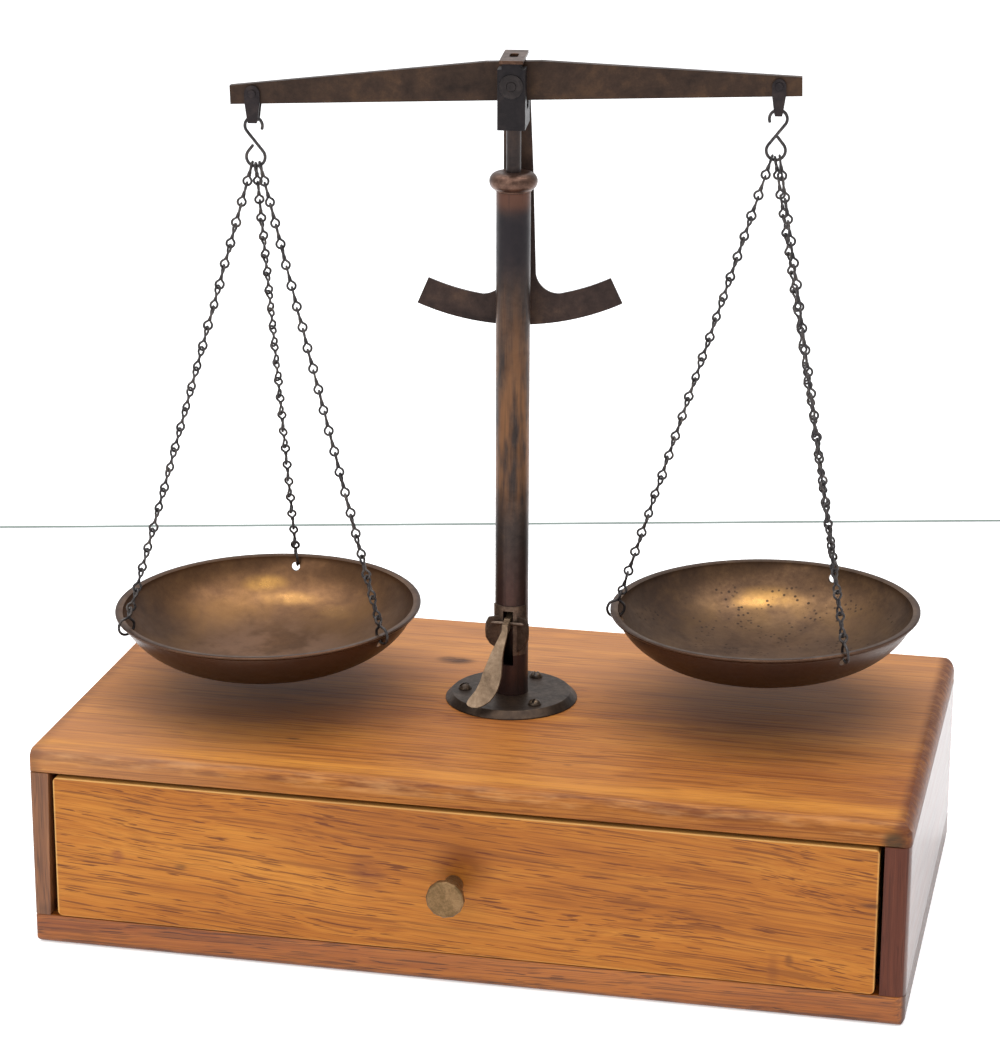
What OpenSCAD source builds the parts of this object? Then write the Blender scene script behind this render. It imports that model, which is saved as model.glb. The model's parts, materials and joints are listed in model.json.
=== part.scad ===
// Two-pan jewelers scale on a wooden drawer base.
// Millimetres, +Z up, +X to the right, the drawer opens towards -Y.
// The origin is the centre of the base's underside.

/* [Base] */
// Width of the base across the front
base_w = 285; // [270:1:320]
// Depth of the base from front to back
base_d = 156; // [140:1:190]
// Height of the base's top above the surface it stands on
base_h = 67.6; // [60:0.2:68]
// Thickness of the top board
top_t = 7.6; // [6:0.2:9]
// Thickness of the bottom board
bottom_t = 10; // [9:0.2:12]
// Thickness of the left side board
side_l_t = 6.4; // [5:0.2:8]
// Thickness of the right side board
side_r_t = 8.2; // [6:0.2:10]
// Thickness of the back board
back_t = 7; // [5:0.5:9]
// Radius of the top board's upper edge, in front and on the right
edge_r = 4.8; // [1:0.2:5.2]
// Radius of the base's worn upright corner, front right
corner_r = 3.6; // [1:0.2:4.6]
// How much wider the drawer opening is at its lower left than at its upper left
gap_taper = 1.1; // [0:0.1:1.4]

/* [Drawer] */
// Gap between the drawer front and the opening, at the top
drawer_gap_top = 1.2; // [0.6:0.1:2]
// Gap between the drawer front and the opening, at each side
drawer_gap_side = 1.5; // [0.6:0.1:2]
// Thickness of the drawer front
drawer_front_t = 9; // [7:0.5:11]
// Thickness of the drawer's sides and back
drawer_wall_t = 6; // [4:0.5:8]
// Length of the drawer, with its front
drawer_len = 146; // [120:1:147]
// Width of the knob's front face
knob_w = 12.2; // [8:0.2:14]
// How far the knob stands out of the drawer front
knob_len = 13; // [10:0.5:16]

/* [Column] */
// Sideways place of the column's axis
col_x = -0.8; // [-4:0.1:4]
// Front to back place of the column's axis
col_y = 4.8; // [-6:0.1:6]
// Outer diameter of the column tube
tube_d = 11.2; // [9.6:0.1:11.4]
// Wall of the column tube
tube_wall = 0.9; // [0.7:0.05:1]
// Diameter of the flange plate at the column's foot
flange_d = 44.4; // [40:0.2:52]
// Thickness of the flange plate
flange_t = 2.6; // [1.6:0.1:3]
// Diameter of the lifting rod
rod_d = 4.8; // [4:0.1:5.4]
// Diameter of the beaded collar on the column
collar_d = 15.7; // [13:0.1:17]

/* [Beam] */
// Distance from the middle pivot to each end pivot
arm = 84.2; // [78:0.2:88]
// Height of the middle pivot
pivot_z = 276.6; // [275:0.1:277]
// Thickness of the beam
beam_t = 3; // [2.4:0.1:3.2]
// How far the beam stands tilted, left end down
tilt = 1.8; // [-3:0.1:3]
// Turn of the fork and beam about the column
head_yaw = 7.5; // [-10:0.5:10]
// Outer radius of the pointer's arc plate
arc_r = 82.2; // [76:0.2:83]

/* [Pans] */
// Diameter of each pan over its lip
pan_d = 102.9; // [96:0.1:104]
// Depth of each pan
pan_h = 19.4; // [16:0.2:21]
// Height of the left pan's rim below the foot of its S-hook
pan_drop = 149.6; // [145:0.2:150]
// Number of links in each chain
links = 22; // [20:1:23]

/* [Hidden] */
$fn = 40;

hw = base_w / 2;
hd = base_d / 2;
in_l = -hw + side_l_t;        // inside faces of the side boards
in_r = hw - side_r_t;
z_top0 = base_h - top_t;      // underside of the top board
dr_z0 = bottom_t + 0.3;       // underside of the drawer
dr_z1 = z_top0 - drawer_gap_top;
dr_x0 = in_l + drawer_gap_side;
dr_x1 = in_r - drawer_gap_side;
dr_y0 = -hd;
dr_y1 = -hd + drawer_len;
knob_x = (dr_x0 + dr_x1) / 2 - 0.4;
knob_z = 34.4;

tube_r = tube_d / 2;
bore_r = tube_r - tube_wall;
fl_z = base_h + flange_t;     // top of the flange
flange_a = [187, 70, -48];    // directions of the flange's screws
tube_top = 241.2;
slot_w = 3.4;
slot_z0 = 80.8;
slot_z1 = 100.1;

// lever, seen from the side, in the column's own frame
lev_y = -6.5;
lev_z = 96.1;
nose_y = -0.1;
nose_z = 98.43;
rod_z0 = 99.64;               // lower tip of the lifting rod

// fork
fk_w = 8.9;
fk_y0 = -10.4;                // front and rear of the block
fk_y1 = 9;
fk_z0 = 262.6;
fk_z1 = 282;
fk_slot = 6.6;
fk_slot_z = 268.1;
cap_z0 = 283.9;
cap_z1 = 285;

// beam, in its own level frame with the middle pivot at zero
beam_bot = -5.8;
end_pin_z = beam_bot + 3.4;
arbor_r = 1.5;
pin_r = 0.8;
cheek_in = beam_t / 2 + 0.3;
cheek_t = 0.8;
bar_r = 0.55;
bar_drop = 9;

// S-hooks
wire_r = 0.52;
s_up_r = 2.85;
s_lo_r = 3.05;
s_dist = 10.15;
s_off = 0.5;
s_top = bar_r + 0.04 + wire_r - s_up_r;   // centre of the upper loop below the bar
s_foot = s_top - s_dist - s_lo_r;         // middle of the wire at the foot

// chains
link_rw = 0.42;
link_rm = 1.34;
link_gap = 0.05;
hook_rw = 0.5;
hook_rm = 2.95;
hook_sm = 1.3;
hook_c = 5.1;                 // from the middle of the hook's large ring to that of its small one

// pan
pan_r = pan_d / 2;
dish_r = pan_r - 1.7;
pan_t = 0.8;
hook_r = dish_r - 0.15;       // radius at which the large rings sit
hook_z = -0.2;                // and their height from the rim

// where each end pivot, S-hook foot and pan is, in the head's frame
end_l = [-arm * cos(tilt) - end_pin_z * sin(tilt), 0,
         pivot_z - arm * sin(tilt) + end_pin_z * cos(tilt)];
end_r = [arm * cos(tilt) - end_pin_z * sin(tilt), 0,
         pivot_z + arm * sin(tilt) + end_pin_z * cos(tilt)];
foot_l = [end_l[0] + s_off, 0, end_l[2] - bar_drop + s_foot];
foot_r = [end_r[0] - s_off, 0, end_r[2] - bar_drop + s_foot];
rim_l = [foot_l[0] + 1.2, 0, foot_l[2] - pan_drop];
rim_r = [foot_r[0] + 0.8, 0, foot_r[2] - pan_drop - 1.3];
// small lean of each pan: about X, then about Y
lean_l = [1.4, -0.8];
lean_r = [0.4, -1.0];
// directions of the three chains on each pan: side, rear, front
az_l = [-152.5, 87.5, -32.5];
az_r = [-178.5, 61.5, -58.5];

// colours
c_oak = [0.72, 0.45, 0.24];
c_side = [0.40, 0.26, 0.19];
c_front = [0.75, 0.48, 0.22];
c_inner = [0.66, 0.50, 0.33];
c_brown = [0.28, 0.20, 0.15];
c_tube = [0.33, 0.23, 0.15];
c_copper = [0.47, 0.33, 0.24];
c_lever = [0.60, 0.53, 0.42];
c_pan = [0.42, 0.32, 0.21];
c_wire = [0.20, 0.19, 0.20];
c_knob = [0.50, 0.44, 0.26];
c_dark = [0.22, 0.18, 0.15];

module at_col() { translate([col_x, col_y, 0]) children(); }
module at_head() { translate([col_x, col_y, 0]) rotate([0, 0, head_yaw]) children(); }
module at_beam() { at_head() translate([0, 0, pivot_z]) rotate([0, -tilt, 0]) children(); }
// a flat outline in X and Z, given thickness along Y from y0 to y1
module upright(y0, y1) { translate([0, y1, 0]) rotate([90, 0, 0]) linear_extrude(y1 - y0) children(); }
// a pin along Y from y0 to y1
module ypin(r, y0, y1) { translate([0, y1, 0]) rotate([90, 0, 0]) cylinder(r = r, h = y1 - y0); }
module torus(rm, rw) { rotate_extrude($fn = 28) translate([rm, 0]) circle(r = rw, $fn = 16); }
module arc_wire(rm, rw, a0, a1) { rotate([0, 0, a0]) rotate_extrude(angle = a1 - a0, $fn = 40) translate([rm, 0]) circle(r = rw, $fn = 16); }
module rod_between(p, q, r) {
  d = q - p;
  l = norm(d);
  translate(p) rotate([0, acos(d[2] / l), atan2(d[1], d[0])]) cylinder(r = r, h = l, $fn = 16);
}
// rectangle with its own radius at each corner: lower left, lower right, upper right, upper left
module rect4(x0, x1, y0, y1, r) {
  difference() {
    translate([x0, y0]) square([x1 - x0, y1 - y0]);
    for (k = [[x0, y0, 1, 1, r[0]], [x1, y0, -1, 1, r[1]], [x1, y1, -1, -1, r[2]], [x0, y1, 1, -1, r[3]]])
      difference() {
        translate([k[2] > 0 ? k[0] - 1 : k[0] - k[4], k[3] > 0 ? k[1] - 1 : k[1] - k[4]]) square([k[4] + 1, k[4] + 1]);
        translate([k[0] + k[2] * k[4], k[1] + k[3] * k[4]]) circle(r = k[4]);
      }
  }
}
// rectangle with its corners rounded by r below and by s above
module rect_rs(x0, x1, y0, y1, r, s) {
  translate([x0 + r, y0]) square([x1 - x0 - 2 * r, y1 - y0 - s]);
  translate([x0 + s, y0 + r]) square([x1 - x0 - 2 * s, y1 - y0 - r]);
  translate([x0, y0 + r]) square([x1 - x0, y1 - y0 - r - s]);
  translate([x0 + r, y0 + r]) circle(r = r);
  translate([x1 - r, y0 + r]) circle(r = r);
  translate([x0 + s, y1 - s]) circle(r = s);
  translate([x1 - s, y1 - s]) circle(r = s);
}

module top_board() {
  color(c_oak) difference() {
    intersection() {
      upright(-hd, hd) rect4(-hw, hw, z_top0, base_h, [0.6, 0.8, edge_r - 0.4, 0.6]);
      rotate([90, 0, 90]) translate([0, 0, -hw]) linear_extrude(base_w) rect4(-hd, hd, z_top0, base_h, [0.8, 0.6, 0.6, edge_r]);
      translate([0, 0, z_top0]) linear_extrude(top_t) rect4(-hw, hw, -hd, hd, [1, corner_r, 3.6, 1]);
    }
    // screw holes under the flange
    at_col() for (a = flange_a) rotate([0, 0, a]) translate([15.7, 0, base_h - 5]) cylinder(r = 1.3, h = 7, $fn = 24);
  }
}
module bottom_board() {
  color(c_oak) intersection() {
    upright(-hd, hd) rect4(-hw, hw, 0, bottom_t, [2.4, 2.4, 0.6, 0.6]);
    rotate([90, 0, 90]) translate([0, 0, -hw]) linear_extrude(base_w) rect4(-hd, hd, 0, bottom_t, [2.4, 2.4, 0.6, 0.6]);
    linear_extrude(bottom_t) rect4(-hw, hw, -hd, hd, [1, corner_r, 1, 1]);
  }
}
module side_left() {
  color(c_side) difference() {
    translate([0, 0, bottom_t]) linear_extrude(z_top0 - bottom_t) rect4(-hw, in_l + 12, -hd, hd, [1, 1, 1, 1]);
    upright(-hd - 1, hd + 1) polygon([[in_l - gap_taper, bottom_t - 1], [in_l - gap_taper, bottom_t], [in_l, z_top0],
      [in_l, z_top0 + 1], [in_l + 20, z_top0 + 1], [in_l + 20, bottom_t - 1]]);
  }
}
module side_right() {
  color(c_side) translate([0, 0, bottom_t]) linear_extrude(z_top0 - bottom_t) difference() {
    rect4(in_r - 12, hw, -hd, hd, [1, corner_r, 1, 1]);
    translate([in_r - 20, -hd - 1]) square([20, base_d + 2]);
  }
}
module back_board() {
  color(c_side) translate([in_l, hd - back_t, bottom_t]) cube([in_r - in_l, back_t, z_top0 - bottom_t]);
}

module drawer_front() {
  color(c_front) difference() {
    upright(dr_y0, dr_y0 + drawer_front_t) rect_rs(dr_x0, dr_x1, dr_z0, dr_z1, 1.6, 1.6);
    // rebates for the sides and groove for the bottom
    translate([dr_x0 - 1, dr_y0 + 4.5, dr_z0 - 1]) cube([drawer_wall_t + 1.8, 10, dr_z1 - dr_z0 + 2]);
    translate([dr_x1 - drawer_wall_t - 0.8, dr_y0 + 4.5, dr_z0 - 1]) cube([drawer_wall_t + 1.8, 10, dr_z1 - dr_z0 + 2]);
    translate([dr_x0 + drawer_wall_t - 3, dr_y0 + 4.5, dr_z0 + 3]) cube([dr_x1 - dr_x0 - 2 * drawer_wall_t + 6, 5, 3]);
    translate([knob_x, dr_y0, knob_z]) ypin(1.5, -1, drawer_front_t + 1);
  }
}
// drawer sides end in the rebates of the front
module drawer_side(x0) {
  translate([x0, dr_y0 + 4.5, dr_z0]) cube([drawer_wall_t, drawer_len - 4.5, dr_z1 - dr_z0 - 1]);
}
module drawer_side_left() {
  color(c_inner) difference() {
    drawer_side(dr_x0 + 0.8);
    translate([dr_x0 + drawer_wall_t - 2.2, dr_y0, dr_z0 + 3]) cube([4, drawer_len - drawer_wall_t, 3]);
  }
}
module drawer_side_right() {
  color(c_inner) difference() {
    drawer_side(dr_x1 - drawer_wall_t - 0.8);
    translate([dr_x1 - drawer_wall_t - 1.8, dr_y0, dr_z0 + 3]) cube([4, drawer_len - drawer_wall_t, 3]);
  }
}
module drawer_back() {
  color(c_inner) translate([dr_x0 + 0.8 + drawer_wall_t, dr_y1 - drawer_wall_t, dr_z0 + 6])
    cube([dr_x1 - dr_x0 - 1.6 - 2 * drawer_wall_t, drawer_wall_t, dr_z1 - dr_z0 - 7]);
}
module drawer_bottom() {
  color(c_inner) translate([dr_x0 + drawer_wall_t - 2.1, dr_y0 + 4.6, dr_z0 + 3])
    cube([dr_x1 - dr_x0 - 2 * drawer_wall_t + 4.2, drawer_len - drawer_wall_t - 4.7, 3]);
}
module drawer_knob() {
  color(c_knob) translate([knob_x, dr_y0, knob_z]) rotate([90, 0, 0]) difference() {
    union() {
      cylinder(r = 3.1, h = 4.6);
      // many-sided head that widens towards its front
      intersection() {
        for_side(0);
        for_side(30);
        for_side(60);
        for_side(90);
        for_side(120);
        for_side(150);
      }
    }
    translate([0, 0, -1]) cylinder(r = 1.5, h = 8);
  }
}
module for_side(a) {
  w = knob_w / 2 * 0.98;
  rotate([0, 0, a + 10]) upright(-10, 10)
    polygon([[-3.2, 4.1], [3.2, 4.1], [w, knob_len - 2.2], [w, knob_len - 0.5], [w - 0.5, knob_len], [0.5 - w, knob_len], [-w, knob_len - 0.5], [-w, knob_len - 2.2]]);
}
module knob_screw() {
  color(c_lever) translate([knob_x, dr_y0, knob_z]) difference() {
    union() {
      ypin(1.5, -6.8, drawer_front_t + 0.4);
      ypin(3.2, drawer_front_t, drawer_front_t + 1.9);
    }
    translate([-0.4, drawer_front_t + 1.1, -4]) cube([0.8, 2, 8]);
  }
}

module flange_plate() {
  color(c_brown) at_col() difference() {
    translate([0, 0, base_h]) rotate_extrude($fn = 96)
      polygon([[0, 0], [flange_d / 2, 0], [flange_d / 2, 0.4], [flange_d / 2 - 2.2, flange_t], [0, flange_t]]);
    translate([0, 0, base_h - 1]) cylinder(r = tube_r, h = flange_t + 2);
    for (a = flange_a) rotate([0, 0, a]) translate([15.7, 0, base_h - 1]) cylinder(r = 1.3, h = flange_t + 2, $fn = 24);
  }
}
module flange_screws() {
  color(c_dark) at_col() for (k = [[flange_a[0], 30], [flange_a[1], 95], [flange_a[2], 80]]) rotate([0, 0, k[0]]) translate([15.7, 0, 0]) difference() {
    union() {
      translate([0, 0, base_h - 5]) cylinder(r = 1.3, h = 5 + flange_t, $fn = 24);
      translate([0, 0, fl_z]) intersection() {
        translate([0, 0, -0.44]) sphere(r = 2.34, $fn = 32);
        cylinder(r = 2.25, h = 3, $fn = 32);
      }
    }
    rotate([0, 0, k[1] - k[0]]) translate([-3, -0.45, fl_z + 0.8]) cube([6, 0.9, 3]);
  }
}
module column_tube() {
  color(c_tube) at_col() difference() {
    translate([0, 0, base_h]) cylinder(r = tube_r, h = tube_top - base_h, $fn = 64);
    translate([0, 0, base_h - 1]) cylinder(r = bore_r, h = tube_top - base_h + 2, $fn = 64);
    translate([-slot_w / 2, -10, slot_z0]) cube([slot_w, 10, slot_z1 - slot_z0]);
  }
}
module column_collar() {
  color(c_copper) at_col() rotate_extrude($fn = 72) difference() {
    union() {
      translate([0, tube_top - 9]) square([bore_r - 0.01, 9.01]);
      translate([0, tube_top]) square([collar_d / 2 - 3, 6.3]);
      translate([0, tube_top + 0.2]) square([tube_r + 0.35, 2]);
      translate([collar_d / 2 - 3, tube_top + 3.3]) circle(r = 3, $fn = 32);
    }
    translate([-1, tube_top - 10]) square([1 + rod_d / 2 + 0.06, 20]);
    translate([0, tube_top + 6.3]) square([9, 3]);
    translate([0, tube_top - 9.5]) square([bore_r - 0.9, 7]);
  }
}

// one flared ear of the lever's bracket: a plate that leaves the tube beside its slot
module ear() {
  difference() {
    translate([slot_w / 2 + 0.2, -tube_r + 0.9, 0]) rotate([0, 0, -33]) translate([0, 0.9, 0]) rotate([90, 0, 0])
      linear_extrude(0.9) polygon([[-0.8, 84.6], [0.4, 84.6], [2.3, 86.9], [4.6, 88.8], [5.9, 91.1], [6.1, 93.8], [5.9, 96.4], [4.9, 98.2], [-0.8, 98.2]]);
    translate([0, 0, 80]) cylinder(r = tube_r, h = 25, $fn = 64);
  }
}
module lever_bracket() {
  color(c_brown) at_col() difference() {
    union() {
      ear();
      mirror([1, 0, 0]) ear();
      // saddle on the front of the tube, open over the slot
      difference() {
        translate([0, 0, 84.6]) cylinder(r = tube_r + 0.5, h = 17.2, $fn = 64);
        translate([0, 0, 84]) cylinder(r = tube_r, h = 20, $fn = 64);
        translate([-8, -2.6, 84]) cube([16, 16, 20]);
        translate([-slot_w / 2, -10, 84]) cube([slot_w, 10, 16.1]);
      }
    }
    translate([-12, lev_y, lev_z]) rotate([0, 90, 0]) cylinder(r = 0.6, h = 24, $fn = 24);
  }
}
module lever_pin() {
  color(c_dark) at_col() translate([-7.2, lev_y, lev_z]) rotate([0, 90, 0]) cylinder(r = 0.6, h = 14.4, $fn = 24);
}
// blade of the lever: a leaf that leans forward and to the left
module blade_outline() {
  polygon([[-0.1, 0], [0.7, -0.1], [1.1, -1], [1.15, -2.2], [1.0, -4.3], [0.6, -6.7], [0.3, -9], [0.15, -11.7], [0.3, -14.3], [0.35, -17],
    [0.05, -19.6], [-0.45, -21.7], [-1.3, -23.7], [-2.8, -25.9], [-4.7, -27.3], [-6.6, -28.2], [-8.6, -28.3], [-10.0, -27.8],
    [-10.5, -27.1], [-10.2, -26.0], [-9.3, -24.6], [-7.85, -22.5], [-6.75, -19.8], [-6.0, -16.8], [-4.95, -13.4], [-3.9, -10],
    [-2.8, -7.2], [-1.7, -4.5], [-0.9, -2.4]]);
}
module lift_lever() {
  color(c_lever) at_col() difference() {
    union() {
      // hub on the pin
      translate([-1, lev_y, lev_z]) rotate([0, 90, 0]) cylinder(r = 1.9, h = 2, $fn = 32);
      // nose that lifts the rod
      translate([-1, 0, 0]) rotate([90, 0, 90]) linear_extrude(2) union() {
        translate([nose_y, nose_z]) circle(r = 1.15, $fn = 24);
        polygon([[lev_y - 0.31, lev_z + 0.85], [lev_y + 0.31, lev_z - 0.85], [nose_y + 0.31, nose_z - 0.85], [nose_y - 0.31, nose_z + 0.85]]);
        polygon([[lev_y, lev_z - 1.8], [lev_y, lev_z + 1.8], [-10.7, 96.8], [-12, 93.7]]);
      }
      translate([0, -10.4, 96.9]) rotate([-24, 0, 0]) upright(-0.65, 0.65) blade_outline();
    }
    translate([-12, lev_y, lev_z]) rotate([0, 90, 0]) cylinder(r = 0.66, h = 24, $fn = 24);
  }
}

module lift_rod() {
  color(c_tube) at_head() {
    translate([0, 0, rod_z0 + 1.2]) sphere(r = 1.2, $fn = 24);
    translate([0, 0, rod_z0 + 1.2]) cylinder(r = 1.2, h = 4.3, $fn = 24);
    translate([0, 0, rod_z0 + 5]) cylinder(r = rod_d / 2, h = fk_z0 + 4 - rod_z0 - 5, $fn = 40);
  }
}
module rod_guide() {
  color(c_knob) at_head() difference() {
    translate([0, 0, 108]) cylinder(r = bore_r - 0.08, h = 12, $fn = 48);
    translate([0, 0, 107]) cylinder(r = rod_d / 2, h = 14, $fn = 40);
  }
}
module fork_block() {
  color(c_dark) at_head() difference() {
    union() {
      translate([-fk_w / 2, fk_y0, fk_z0]) cube([fk_w, fk_y1 - fk_y0, fk_z1 - fk_z0]);
      translate([-3.1, fk_y0, fk_z1 - 1]) cube([6.2, fk_y1 - fk_y0, cap_z0 - fk_z1 + 1]);
    }
    translate([-fk_w, -fk_slot / 2, fk_slot_z]) cube([2 * fk_w, fk_slot, 30]);
    translate([0, 0, fk_z0 - 1]) cylinder(r = rod_d / 2, h = 5, $fn = 40);
    translate([0, 0, pivot_z]) ypin(1.7, -20, 20);
  }
}
module fork_cap() {
  color(c_copper) at_head() translate([0, 0, cap_z0]) linear_extrude(cap_z1 - cap_z0) difference() {
    translate([-3.8, -11.9]) square([7.6, 22.8]);
    translate([-1.4, -2.4]) square([2.8, 4.8]);
    for (s = [-1, 1]) translate([0, s * 2.4]) circle(r = 1.4, $fn = 32);
  }
}
// bearing bushes let into the fork's two cheeks
module fork_bushes() {
  color(c_dark) at_head() translate([0, 0, pivot_z]) difference() {
    union() {
      ypin(3.8, fk_y0 - 0.5, fk_y0);
      ypin(1.7, fk_y0, -fk_slot / 2 - 0.3);
      ypin(1.7, fk_slot / 2 + 0.3, fk_y1);
      ypin(3.8, fk_y1, fk_y1 + 0.5);
    }
    ypin(arbor_r + 0.06, -20, 20);
  }
}

module beam() {
  color(c_brown) at_beam() difference() {
    upright(-beam_t / 2, beam_t / 2) union() {
      polygon([[-91.5, beam_bot], [91.5, beam_bot], [91.5, beam_bot + 6], [9, beam_bot + 12.35], [-9, beam_bot + 12.35], [-91.5, beam_bot + 6]]);
    }
    ypin(arbor_r, -5, 5);
    for (s = [-1, 1]) translate([s * arm, 0, end_pin_z]) ypin(pin_r, -5, 5);
  }
}
module pivot_arbor() {
  color(c_dark) at_beam() union() {
    ypin(arbor_r, fk_y0 - 0.7, 12.6);
    // shoulder that keeps the pointer clear of the rear bush
    ypin(2.4, 9.7, 10.4);
  }
}
module pointer() {
  ri = arc_r - 9.3;
  fr = 7.5;
  fx = 4.95 + fr;
  fd = ri - fr + 0.08;
  fz = -sqrt(fd * fd - fx * fx);
  color(c_brown) at_beam() rotate([0, 0.4, 0]) difference() {
    union() {
      upright(10.4, 11.8) circle(r = 4.6, $fn = 48);
      upright(10.4, 11.8) polygon([[-4.2, 0.5], [4.2, 0.5], [4.63, -21], [4.82, -30], [5, -60], [5.02, -ri - 3], [-5.02, -ri - 3], [-5, -60], [-4.82, -30], [-4.63, -21]]);
      upright(10.4, 11.8) difference() {
        intersection() {
          circle(r = arc_r, $fn = 180);
          polygon([[0, 0], [-100 * sin(24.7), -100 * cos(24.7)], [0, -120], [100 * sin(23.9), -100 * cos(23.9)]]);
        }
        circle(r = ri, $fn = 180);
      }
      for (s = [0, 1]) mirror([s, 0, 0]) upright(10.4, 11.8) difference() {
        polygon([[4, fz], [fx, fz], [fx * ri / fd, fz * ri / fd], [fx * ri / fd, -ri - 1.5], [4, -ri - 1.5]]);
        translate([fx, fz]) circle(r = fr, $fn = 40);
      }
    }
    ypin(arbor_r, 5, 20);
  }
}
module end_pins() {
  color(c_dark) at_beam() for (s = [-1, 1]) translate([s * arm, 0, end_pin_z]) {
    ypin(pin_r, -cheek_in - cheek_t - 0.15, cheek_in + cheek_t + 0.15);
    for (k = [0, 1]) mirror([0, k, 0]) ypin(1.25, -cheek_in - cheek_t - 0.6, -cheek_in - cheek_t - 0.12);
  }
}
// stirrup hanging from an end pin; wt and wb are its widths above and below
module stirrup(p, wt, wb) {
  at_head() translate(p) {
    difference() {
      for (k = [0, 1]) mirror([0, k, 0]) upright(-cheek_in - cheek_t, -cheek_in) {
        circle(r = wt / 2, $fn = 40);
        polygon([[-wt / 2, 0], [-wt / 2 * 0.98, -3], [-wb / 2, -bar_drop + 0.6], [-wb / 2 + 0.35, -bar_drop - 0.55],
                 [wb / 2 - 0.35, -bar_drop - 0.55], [wb / 2, -bar_drop + 0.6], [wt / 2 * 0.98, -3], [wt / 2, 0]]);
      }
      ypin(pin_r + 0.05, -10, 10);
    }
    translate([0, 0, -bar_drop]) ypin(bar_r, -cheek_in - 0.4, cheek_in + 0.4);
  }
}
module stirrup_left() { color(c_dark) stirrup(end_l, 5.0, 3.5); }
module stirrup_right() { color(c_dark) stirrup(end_r, 4.5, 2.9); }

// S-hook of one wire with a tail of length e; the bar it hangs on is at the origin
module s_hook(e) {
  eps = atan2(s_off, s_dist);
  dd = norm([s_off, s_dist]);
  na = -90 + eps - acos((s_up_r + s_lo_r) / dd);
  n = [cos(na), 0, sin(na)];
  t = [-sin(na), 0, cos(na)];
  c1 = [0, 0, s_top];
  c2 = [s_off, 0, s_top - s_dist];
  p1 = c1 + s_up_r * n;
  p2 = c2 - s_lo_r * n;
  translate(c1) rotate([90, 0, 0]) arc_wire(s_up_r, wire_r, -19, na + 360);
  rod_between(p1 - 0.15 * t, p2 + 0.15 * t, wire_r + 0.02);
  // lower loop, from the diagonal round the foot to the free end
  a_end = 180 - (na + 180);
  translate(c2) rotate([90, 0, 0]) arc_wire(s_lo_r, wire_r, a_end - 360, na + 180);
  q0 = c2 + s_lo_r * [cos(a_end), 0, sin(a_end)];
  te = [sin(a_end), 0, -cos(a_end)];
  rod_between(q0 - 0.15 * te, q0 + e * te, wire_r + 0.02);
}
module s_hook_left() { color(c_wire) at_head() translate([end_l[0], 0, end_l[2] - bar_drop]) s_hook(2.45); }
module s_hook_right() { color(c_wire) at_head() translate([end_r[0], 0, end_r[2] - bar_drop]) mirror([1, 0, 0]) s_hook(3.2); }

// a point fixed to a leaning pan, in the head's frame
function leant(p, c, l) = c + [
  p[0] * cos(l[1]) + p[1] * 0 + p[2] * sin(l[1]),
  p[0] * sin(l[0]) * sin(l[1]) + p[1] * cos(l[0]) - p[2] * sin(l[0]) * cos(l[1]),
  -p[0] * cos(l[0]) * sin(l[1]) + p[1] * sin(l[0]) + p[2] * cos(l[0]) * cos(l[1])];
module lean(c, l) { translate(c) rotate([l[0], 0, 0]) rotate([0, l[1], 0]) children(); }
// twist of the topmost link, so that its ring hangs square on the S-hook's wire
function fold(a) = a > 90 ? fold(a - 180) : a < -90 ? fold(a + 180) : a;

// one link: two rings at right angles on a short neck
module link(c) {
  translate([0, 0, c]) rotate([0, 90, 0]) torus(link_rm, link_rw);
  translate([0, 0, -c]) rotate([90, 0, 0]) torus(link_rm, link_rw);
  translate([0, 0, -c + link_rm]) cylinder(r = 0.52, h = 2 * (c - link_rm), $fn = 16);
}
// chain from the foot of an S-hook at t to a pan hook whose large ring is at o
module chain(t, o, az) {
  d = o - t;
  l = norm(d);
  a0 = ring_up;
  a1 = hook_c + hook_sm - (link_rw + hook_rw + link_gap);
  // length of one link between the middles of its end wires
  step = (l + a0 - a1 + (2 * link_rw + link_gap) * (links - 1)) / links;
  c = step / 2 - link_rm;
  u = atan2(d[1], d[0]);
  g = acos(-d[2] / l);
  psi = fold(-az);
  translate(t) rotate([0, 0, u]) rotate([0, -g, 0])
    for (i = [0 : links - 1])
      translate([0, 0, a0 - step / 2 - i * (step - 2 * link_rw - link_gap)])
        rotate([0, 0, psi * (1 - i / (links - 1))]) link(c);
}
// hook of wire at the foot of a chain: its large ring goes through the pan's wall
module pan_hook(t, o) {
  d = t - o;
  l = norm(d);
  u = atan2(-d[1], -d[0]);
  g = acos(d[2] / l);
  translate(o) rotate([0, 0, u]) {
    rotate([90, 0, 0]) torus(hook_rm, hook_rw);
    rotate([0, -g, 0]) {
      translate([0, 0, hook_rm]) cylinder(r = 0.58, h = hook_c - hook_sm - hook_rm, $fn = 16);
      translate([0, 0, hook_c]) rotate([0, 90, 0]) torus(hook_sm, hook_rw);
    }
  }
}
module pan_dish() {
  no = 24;
  outer = [for (i = [0 : no]) let (f = 90 * i / no) [dish_r * pow(sin(f), 2 / 3.3), -pan_h * pow(cos(f), 2 / 1.5)]];
  inner = [for (i = [no : -1 : 0]) let (f = 90 * i / no) [(dish_r - pan_t) * pow(sin(f), 2 / 3.3), -(pan_h - pan_t) * pow(cos(f), 2 / 1.5)]];
  rotate_extrude($fn = 120) {
    polygon(concat(outer, [[dish_r, 0.1], [dish_r - pan_t, 0.1]], inner));
    polygon([[dish_r - pan_t, -0.9], [dish_r, -1.3], [pan_r - 0.5, -0.75], [pan_r, -0.25], [pan_r, 0.15], [pan_r - 0.4, 0.45], [dish_r - 0.2, 0.35], [dish_r - pan_t, 0]]);
  }
}
module pan(c, l, az) {
  at_head() lean(c, l) difference() {
    pan_dish();
    for (a = az) rotate([0, 0, a]) translate([dish_r - 5, 0, hook_z - hook_rm - 0.1]) rotate([0, 90, 0]) cylinder(r = 1.4, h = 9, $fn = 32);
  }
}
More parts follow.
